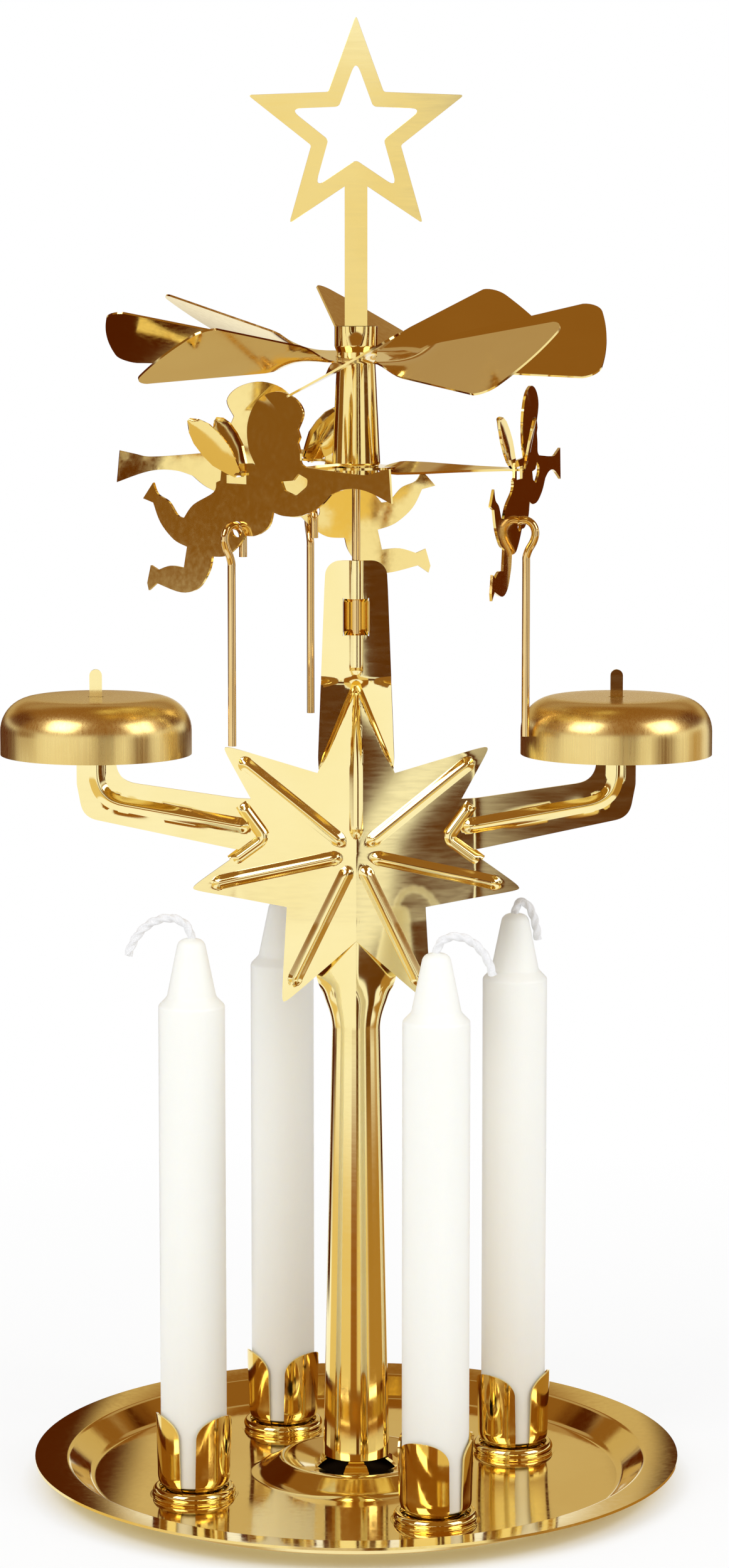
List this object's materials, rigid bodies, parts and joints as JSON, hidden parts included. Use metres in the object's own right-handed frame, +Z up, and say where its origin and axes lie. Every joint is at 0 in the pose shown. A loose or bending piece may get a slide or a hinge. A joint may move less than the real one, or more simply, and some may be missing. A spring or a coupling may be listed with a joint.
{
  "type": "candle chime",
  "caption": "Brass candle chime: a dish with candle cups, a stem with a pressed star and bells, and a fan-driven rotor of trumpet-blowing cherubs that drag strikers past the bells",
  "frame": {"origin": "on the table plane under the middle of the tray, on the axis of the rotor", "axes": "+Z up along the rotor's axis, -Y towards the viewer of the star's pressed front, +X to the viewer's right through the right bell"},
  "size_m": [0.1368, 0.126, 0.2823],
  "materials": {
    "brass": "polished",
    "brushed_brass": "brushed",
    "wax": "satin",
    "cotton": "woven"
  },
  "bodies": {
    "frame": {"tray": "brass", "candle_cup_1": "brass", "candle_cup_2": "brass", "candle_cup_3": "brass", "candle_cup_4": "brass", "stem_and_star": "brass", "needle": "brass"},
    "rotor": {"hub_tube": "brass", "pivot_cup": "brass", "fan": "brass", "figure_carrier": "brass", "figure_1": "brass", "figure_2": "brass", "figure_3": "brass", "top_star": "brass"},
    "striker_1": {"striker_1": "brass"},
    "striker_2": {"striker_2": "brass"},
    "striker_3": {"striker_3": "brass"},
    "bell_left": {"bell_left": "brushed_brass"},
    "bell_right": {"bell_right": "brushed_brass"},
    "candle_1": {"candle_1": "wax", "wick_1": "cotton"},
    "candle_2": {"candle_2": "wax", "wick_2": "cotton"},
    "candle_3": {"candle_3": "wax", "wick_3": "cotton"},
    "candle_4": {"candle_4": "wax", "wick_4": "cotton"}
  },
  "joints": [
    {"name": "rotor_spin", "type": "hinge", "parent": "frame", "child": "rotor", "pos_m": [0, 0, 0.2156], "axis": [0, 0, 1], "continuous": true},
    {"name": "striker_1_swing", "type": "hinge", "parent": "rotor", "child": "striker_1", "pos_m": [0.03066, -0.00764, 0.18742], "axis": [0.2419, 0.9703, 0], "range_deg": [0, 30]},
    {"name": "striker_2_swing", "type": "hinge", "parent": "rotor", "child": "striker_2", "pos_m": [-0.00871, 0.03038, 0.18742], "axis": [-0.9613, -0.2756, 0], "range_deg": [0, 30]},
    {"name": "striker_3_swing", "type": "hinge", "parent": "rotor", "child": "striker_3", "pos_m": [-0.02195, -0.02273, 0.18742], "axis": [0.7193, -0.6947, 0], "range_deg": [0, 30]},
    {"name": "bell_left_lift", "type": "slide", "parent": "frame", "child": "bell_left", "axis": [0, 0, 1], "range_m": [0, 0.018]},
    {"name": "bell_right_lift", "type": "slide", "parent": "frame", "child": "bell_right", "axis": [0, 0, 1], "range_m": [0, 0.018]},
    {"name": "candle_1_lift", "type": "slide", "parent": "frame", "child": "candle_1", "axis": [0, 0, 1], "range_m": [0, 0.018]},
    {"name": "candle_2_lift", "type": "slide", "parent": "frame", "child": "candle_2", "axis": [0, 0, 1], "range_m": [0, 0.018]},
    {"name": "candle_3_lift", "type": "slide", "parent": "frame", "child": "candle_3", "axis": [0, 0, 1], "range_m": [0, 0.018]},
    {"name": "candle_4_lift", "type": "slide", "parent": "frame", "child": "candle_4", "axis": [0, 0, 1], "range_m": [0, 0.018]}
  ]
}
